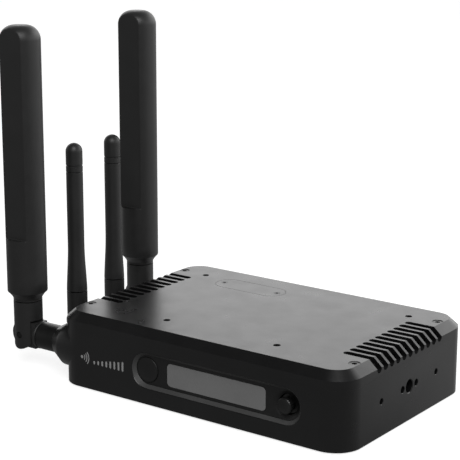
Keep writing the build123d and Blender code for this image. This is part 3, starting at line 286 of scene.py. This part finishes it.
# Ring groove just above the foot of the radome, as (inset from the neck, height above the foot).
PADDLE_GROOVE = [(0.25, 0.0), (0.0, 0.15), (0.0, 0.55), (0.22, 0.7), (0.22, 0.95), (0.0, 1.1)]
PADDLE_SHOULDER = (1.2 * MM, 5.0 * MM)
PADDLE_SHOULDER_STEPS = 12
PADDLE_STATIONS = [45, 50, 55, 60, 64, 66.0, 66.6, 66.9, 67.1, 67.25, 67.4, 67.55, 67.7, 67.9, 68.2, 69, 71]
PADDLE_BODY_LOW = 71 * MM
PADDLE_BODY_STEPS = 24
LEDGE_HALF = 0.35 * MM


def paddle_profile(low, top, full_r):
    """(radius, height) points from the ring groove at the neck to the domed top."""
    neck = PADDLE_NECK_R
    points = [(neck - inset * MM, low + height * MM) for inset, height in PADDLE_GROOVE]
    shoulder_low, shoulder_high = (low + height for height in PADDLE_SHOULDER)
    for i in range(1, PADDLE_SHOULDER_STEPS + 1):
        t = i / PADDLE_SHOULDER_STEPS
        share = t ** 1.25 if t < 0.8 else 1 - (1 - t) ** 1.6 * 3.2
        points.append((neck + (full_r - neck) * share, shoulder_low + (shoulder_high - shoulder_low) * t))
    points += [(full_r, z * MM) for z in PADDLE_STATIONS if z * MM > shoulder_high]
    dome_low = top - PADDLE_TOP_R
    rise = (dome_low - PADDLE_BODY_LOW) / PADDLE_BODY_STEPS
    points += [(full_r, PADDLE_BODY_LOW + rise * i) for i in range(1, PADDLE_BODY_STEPS)]
    points += arc(full_r - PADDLE_TOP_R, dome_low, PADDLE_TOP_R, 0, 90, 20)
    inner = full_r - PADDLE_TOP_R
    points += [(inner * share, top) for share in (0.66, 0.33, 0.05)]
    return points


def paddle_ring(centre, radius, height):
    """Round section cut by two soft-edged flats above the ledge."""
    cut = smooth_step(FACET_BOTTOM - LEDGE_HALF, FACET_BOTTOM + LEDGE_HALF, height)
    flat = FACET_HALF + PADDLE_NECK_R * (1 - cut)
    ring = []
    for i in range(PADDLE_COUNT):
        turn = 2 * math.pi * (i + 0.5) / PADDLE_COUNT
        limit = flat / max(abs(math.sin(turn)), 1e-6)
        k = PADDLE_EDGE_SOFT
        low, high = min(radius, limit), max(radius, limit)
        reach = low - k * math.log(1 + math.exp(-(high - low) / k))
        reach = max(reach, 0.2 * MM) if radius > 0.3 * MM else radius
        ring.append((centre[0] + reach * math.cos(turn), centre[1] + reach * math.sin(turn), height))
    return ring


def add_paddle(name):
    node = name + "_radome"
    low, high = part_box(node)
    centre = ((low.x + high.x) / 2, (low.y + high.y) / 2)
    full_r = (high.x - low.x) / 2
    rings = [paddle_ring(centre, radius, height) for radius, height in paddle_profile(low.z, high.z, full_r)]
    mesh = grid_mesh(node + "_skin", rings)
    sharpen(mesh, 35)
    new_piece(node + "_skin", mesh, BODY_OF[node], SLOT_OF[node], node)


# ---------------------------------------------------------------- whip antennas
WHIP_EDGE = 0.2 * MM
WHIP_TAPER_TOP = 58 * MM
WHIP_TAPER_STEPS = 16
WHIP_TAPER_START = -0.15  # the taper is already under way at the foot
WHIP_STRAIGHT_STEPS = 8
CAP_GAP = 0.2 * MM
CAP_BAND = 3.1 * MM
CAP_GROOVE_W = 0.4 * MM
CAP_GROOVE_DEPTH = 0.35 * MM


def add_whip(name):
    sleeve, cap = name + "_sleeve", name + "_cap"
    low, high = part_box(sleeve)
    cap_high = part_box(cap)[1]
    centre = ((low.x + high.x) / 2, (low.y + high.y) / 2)
    foot_r = (high.x - low.x) / 2
    tip_r = (cap_high.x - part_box(cap)[0].x) / 2
    edge = WHIP_EDGE
    profile = [(foot_r - edge, low.z), (foot_r, low.z + edge)]
    full = 1 - smooth_step(WHIP_TAPER_START, 1, 0)
    for i in range(1, WHIP_TAPER_STEPS + 1):
        t = i / WHIP_TAPER_STEPS
        swell = (1 - smooth_step(WHIP_TAPER_START, 1, t)) / full
        profile.append((tip_r + (foot_r - tip_r) * swell, low.z + edge + (WHIP_TAPER_TOP - low.z) * t))
    rise = (high.z - WHIP_TAPER_TOP) / WHIP_STRAIGHT_STEPS
    profile += [(tip_r, WHIP_TAPER_TOP + rise * i) for i in range(1, WHIP_STRAIGHT_STEPS)]
    profile += [(tip_r, high.z - edge), (tip_r - edge, high.z)]
    mesh = lathe(sleeve + "_skin", profile, centre)
    sharpen(mesh, 40)
    new_piece(sleeve + "_skin", mesh, BODY_OF[sleeve], SLOT_OF[sleeve], sleeve)
    groove_r = tip_r - CAP_GROOVE_DEPTH
    start = high.z + CAP_GAP
    band_top = start + CAP_BAND
    body_low = band_top + CAP_GROOVE_W
    step = 0.05 * MM
    band = [(groove_r, start - 3 * step), (tip_r - edge, start), (tip_r, start + edge)]
    band += [(tip_r, band_top - edge), (tip_r - edge, band_top), (groove_r, band_top + step)]
    band += [(groove_r, body_low - step), (tip_r - edge, body_low), (tip_r, body_low + edge)]
    band.append((tip_r, cap_high.z - tip_r))
    dome = arc(0, cap_high.z - tip_r, tip_r, 4, 86, 18)
    mesh = lathe(cap + "_skin", band + dome, centre)
    sharpen(mesh, 40)
    new_piece(cap + "_skin", mesh, BODY_OF[cap], SLOT_OF[cap], cap)


for antenna in ANTENNAS:
    if antenna.endswith("paddle"):
        add_paddle(antenna)
    else:
        add_whip(antenna)
    soften(antenna + "_hinge_fork", 0.35)
    soften(antenna + "_swivel_base", 0.2)
    soften(antenna + "_coupling_nut", 0.15)

# ---------------------------------------------------------------- housing and controls
SOFT_EDGES = {
    "top_cover": 0.22, "main_frame": 0.22, "bottom_plate": 0.15, "hatch_plate": 0.1, "control_panel": 0.1,
    "display_window": 0.1, "video_jacks": 0.12, "power_inlet": 0.12, "power_switch": 0.12,
    "power_lever": 0.1, "rubber_feet": 0.3, "port_nuts": 0.1,
}
for node_name, edge_width in SOFT_EDGES.items():
    soften(node_name, edge_width)


# ---------------------------------------------------------------- push button
BUTTON_R = 6.3 * MM
BUTTON_EDGE = 0.4 * MM
BUTTON_FLANGE_R = 7.2 * MM
BUTTON_FLANGE_Y = (-51.3 * MM, -50.3 * MM)
BUTTON_STEM_R = 1.5 * MM
BUTTON_DISH = 0.8 * MM
BUTTON_DISH_R = 22 * MM


def lathe_forward(name, profile, x, z, count=96):
    """Turned piece about a line that runs front to back; profile holds (radius, y) from back to front."""
    rings = []
    for radius, y in profile:
        turns = [2 * math.pi * i / count for i in range(count)]
        rings.append([(x + radius * math.cos(t), y, z + radius * math.sin(t)) for t in turns])
    return grid_mesh(name, rings)


def add_select_button():
    """Push button with a rounded rim and a shallow round dish."""
    low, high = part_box("select_button")
    face, back = low.y, high.y
    rim = BUTTON_R - BUTTON_EDGE
    profile = [(0.1 * MM, back), (BUTTON_STEM_R, back), (BUTTON_STEM_R, BUTTON_FLANGE_Y[1])]
    profile += [(BUTTON_FLANGE_R, BUTTON_FLANGE_Y[1]), (BUTTON_FLANGE_R, BUTTON_FLANGE_Y[0])]
    profile.append((BUTTON_R, BUTTON_FLANGE_Y[0]))
    for radius, height in arc(rim, 0, BUTTON_EDGE, 0, 90, 8):
        profile.append((radius, face + BUTTON_EDGE - height))
    for step in range(1, 13):
        radius = rim * (1 - step / 12.2)
        sag = BUTTON_DISH_R - math.sqrt(BUTTON_DISH_R ** 2 - radius ** 2)
        profile.append((radius, face + BUTTON_DISH - sag))
    mesh = lathe_forward("select_button_turned", profile, (low.x + high.x) / 2, (low.z + high.z) / 2)
    sharpen(mesh, 35)
    node = "select_button"
    new_piece("select_button_turned", mesh, BODY_OF[node], SLOT_OF[node], node)


add_select_button()


# ---------------------------------------------------------------- front recess trim and mark
RECESS_X = 12.85 * MM
RECESS_HALF = 98.5 / 2 * MM
RECESS_R = 9.2 * MM
RECESS_BEVEL = 1.8 * MM
RECESS_BEVEL_DEPTH = 2.0 * MM
FRONT_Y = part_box("main_frame")[0].y
MID_Z = 17 * MM


def stadium(inset, y, count=48):
    """Closed loop of points round the recess, inset from its mouth, at one depth."""
    radius = RECESS_R - inset
    straight = RECESS_HALF - RECESS_R
    points = []
    for side in (1, -1):
        for i in range(count + 1):
            turn = math.pi * (i / count - 0.5) if side > 0 else math.pi * (i / count + 0.5)
            x = RECESS_X + side * straight + radius * math.cos(turn)
            points.append((x, y, MID_Z + radius * math.sin(turn)))
    return points


def add_recess_trim():
    """Thin satin lining on the recess's bevel."""
    lift = 0.05 * MM
    slope = RECESS_BEVEL_DEPTH / RECESS_BEVEL
    loops = []
    for inset in (0.25 * MM, RECESS_BEVEL - 0.02 * MM):
        y = FRONT_Y + inset * slope
        loops.append((stadium(inset, y), stadium(inset + lift, y - lift)))
    (outer_back, outer_front), (inner_back, inner_front) = loops
    rings = [outer_back, outer_front, inner_front, inner_back, outer_back]
    count = len(outer_back)
    points = [point for ring in rings[:4] for point in ring]
    faces = []
    for level in range(4):
        low, high = level * count, (level + 1) % 4 * count
        for i in range(count):
            j = (i + 1) % count
            faces.append((low + i, low + j, high + j, high + i))
    mesh = bpy.data.meshes.new("recess_trim")
    mesh.from_pydata(points, [], faces)
    mesh.validate()
    mesh.shade_smooth()
    sharpen(mesh, 30)
    new_piece("recess_trim", mesh, "housing", "control_plastic")
    mesh.materials.clear()
    mesh.materials.append(surface("recess_satin", grey(0.050), grey(0.062), (0.5, 0.6), 4200, 5e-6, ior=1.4))


def plate_from_outline(name, outline, low_y, high_y):
    """Thin upright plate: outline of (x, z) points, between two depths."""
    count = len(outline)
    points = [(x, low_y, z) for x, z in outline] + [(x, high_y, z) for x, z in outline]
    faces = [tuple(range(count)), tuple(reversed(range(count, 2 * count)))]
    faces += [(i, i + count, (i + 1) % count + count, (i + 1) % count) for i in range(count)]
    mesh = bpy.data.meshes.new(name)
    mesh.from_pydata(points, [], faces)
    return mesh


def round_bar(x, z_low, z_high, width):
    """Outline of an upright bar with round ends."""
    r = width / 2
    half_turn = [math.pi * i / 12 for i in range(13)]
    top = [(x + r * math.cos(t), z_high - r + r * math.sin(t)) for t in half_turn]
    foot = [(x + r * math.cos(t + math.pi), z_low + r + r * math.sin(t + math.pi)) for t in half_turn]
    return top + foot


def ring_slice(x, z, radius, width, start, end):
    """Outline of a stretch of a flat ring, by angle in degrees."""
    turns = [math.radians(start + (end - start) * i / 16) for i in range(17)]
    outer_r, inner_r = radius + width / 2, radius - width / 2
    outer = [(x + outer_r * math.cos(t), z + outer_r * math.sin(t)) for t in turns]
    inner = [(x + inner_r * math.cos(t), z + inner_r * math.sin(t)) for t in reversed(turns)]
    return outer + inner


MARK_LEFT = -68.2 * MM
MARK_LOW = 13.6 * MM
MARK_MIDDLE = MARK_LOW + 2.4 * MM
MARK_DOT_R = 0.8 * MM
MARK_WAVE_RADII = (1.9, 3.2, 4.5)
MARK_WAVE_W = 0.55 * MM
MARK_WAVE_HALF_ANGLE = 42
MARK_BARS = 8
MARK_BAR_W = 1.1 * MM
MARK_BAR_START, MARK_BAR_PITCH = 8.0, 2.6
MARK_BAR_HEIGHT, MARK_BAR_RISE = 1.7, 0.45


def add_front_mark():
    """Generic printed sign: a dot with three waves, then a row of rising bars."""
    dot_turns = [2 * math.pi * i / 24 for i in range(24)]
    outlines = [[(MARK_LEFT + MARK_DOT_R * math.cos(t), MARK_MIDDLE + MARK_DOT_R * math.sin(t))
                 for t in dot_turns]]
    for r in MARK_WAVE_RADII:
        outlines.append(ring_slice(MARK_LEFT, MARK_MIDDLE, r * MM, MARK_WAVE_W,
                                   -MARK_WAVE_HALF_ANGLE, MARK_WAVE_HALF_ANGLE))
    for i in range(MARK_BARS):
        x = MARK_LEFT + (MARK_BAR_START + MARK_BAR_PITCH * i) * MM
        top = MARK_LOW + (MARK_BAR_HEIGHT + MARK_BAR_RISE * i) * MM
        outlines.append(round_bar(x, MARK_LOW, top, MARK_BAR_W))
    work = bmesh.new()
    for outline in outlines:
        mesh = plate_from_outline("mark_bit", outline, FRONT_Y - 0.02 * MM, FRONT_Y + 0.08 * MM)
        work.from_mesh(mesh)
        bpy.data.meshes.remove(mesh)
    bmesh.ops.recalc_face_normals(work, faces=work.faces)
    mesh = bpy.data.meshes.new("front_mark")
    work.to_mesh(mesh)
    work.free()
    new_piece("front_mark", mesh, "housing", "housing_paint")
    mesh.materials.clear()
    mesh.materials.append(surface("mark_ink", grey(0.30), grey(0.38), (0.5, 0.6), 4200, 2e-6, blotch=700.0))


add_recess_trim()
add_front_mark()


# ---------------------------------------------------------------- floor, world and lights
def map_range(tree, output, ranges):
    """Smooth ramp of a value: ranges holds its two ends and the two results."""
    node = tree.nodes.new("ShaderNodeMapRange")
    node.interpolation_type = "SMOOTHSTEP"
    for key, value in zip(("From Min", "From Max", "To Min", "To Max"), ranges):
        node.inputs[key].default_value = value
    tree.links.new(output, node.inputs["Value"])
    return node.outputs["Result"]


def add_floor():
    """Pale floor: white with a faint shadow to the camera, a dim even glow to everything else."""
    floor_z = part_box("rubber_feet")[0].z
    bpy.ops.mesh.primitive_plane_add(size=8, location=(0, 0, floor_z))
    floor = bpy.context.object
    floor.name = "floor"
    material = bpy.data.materials.new("floor")
    material.use_nodes = True
    tree = material.node_tree
    tree.nodes.remove(tree.nodes["Principled BSDF"])
    place = tree.nodes.new("ShaderNodeTexCoord").outputs["Object"]
    split = tree.nodes.new("ShaderNodeSeparateXYZ")
    tree.links.new(place, split.inputs["Vector"])
    glow = tree.nodes.new("ShaderNodeEmission")
    tree.links.new(map_range(tree, split.outputs["Y"], FLOOR_GLOW), glow.inputs["Strength"])
    paper = tree.nodes.new("ShaderNodeBsdfDiffuse")
    paper.inputs["Color"].default_value = (*grey(FLOOR_PAPER), 1)
    fill = tree.nodes.new("ShaderNodeEmission")
    fill.inputs["Strength"].default_value = FLOOR_FILL
    both = tree.nodes.new("ShaderNodeAddShader")
    tree.links.new(paper.outputs["BSDF"], both.inputs[0])
    tree.links.new(fill.outputs["Emission"], both.inputs[1])
    choose = tree.nodes.new("ShaderNodeMixShader")
    tree.links.new(tree.nodes.new("ShaderNodeLightPath").outputs["Is Camera Ray"], choose.inputs["Fac"])
    tree.links.new(glow.outputs["Emission"], choose.inputs[1])
    tree.links.new(both.outputs["Shader"], choose.inputs[2])
    tree.links.new(choose.outputs["Shader"], tree.nodes["Material Output"].inputs["Surface"])
    floor.data.materials.append(material)


def add_world():
    """White to the camera; for light, bright low down behind the unit and dim in front and above."""
    world = bpy.data.worlds.new("world")
    bpy.context.scene.world = world
    world.use_nodes = True
    tree = world.node_tree
    background = tree.nodes["Background"]
    split = tree.nodes.new("ShaderNodeSeparateXYZ")
    tree.links.new(tree.nodes.new("ShaderNodeTexCoord").outputs["Generated"], split.inputs["Vector"])
    both = tree.nodes.new("ShaderNodeMath")
    both.operation = "MULTIPLY"
    tree.links.new(map_range(tree, split.outputs["Y"], SKY_DEPTH), both.inputs[0])
    tree.links.new(map_range(tree, split.outputs["Z"], SKY_HEIGHT), both.inputs[1])
    choose = tree.nodes.new("ShaderNodeMix")
    choose.data_type = "FLOAT"
    tree.links.new(tree.nodes.new("ShaderNodeLightPath").outputs["Is Camera Ray"], choose.inputs[0])
    tree.links.new(both.outputs["Value"], choose.inputs[2])
    choose.inputs[3].default_value = 1.0
    tree.links.new(choose.outputs[0], background.inputs["Strength"])
    background.inputs["Color"].default_value = (1, 1, 1, 1)


def add_light(name, place, target, size, power):
    light = bpy.data.lights.new(name, "AREA")
    light.shape = "RECTANGLE"
    light.size, light.size_y = size
    light.energy = power
    lamp = bpy.data.objects.new(name, light)
    bpy.context.scene.collection.objects.link(lamp)
    lamp.location = place
    lamp.rotation_euler = (Vector(target) - Vector(place)).to_track_quat("-Z", "Y").to_euler()


FLOOR_PAPER = 0.45
FLOOR_FILL = 0.80
# Each ramp: where it starts and ends, and its two values.
FLOOR_GLOW = (-0.08, 0.10, 0.20, 0.46)
SKY_DEPTH = (-0.5, 0.7, 0.28, 1.85)
SKY_HEIGHT = (0.30, 0.75, 1.0, 0.14)
add_floor()
add_world()
add_light("back_softbox", (0.35, 1.3, 1.0), (0, 0, 0.03), (1.2, 0.8), 3.5)
add_light("front_key", (0.9, -1.1, 1.5), (0, 0, 0.05), (1.4, 1.4), 27)
bpy.context.scene.view_settings.view_transform = "Standard"
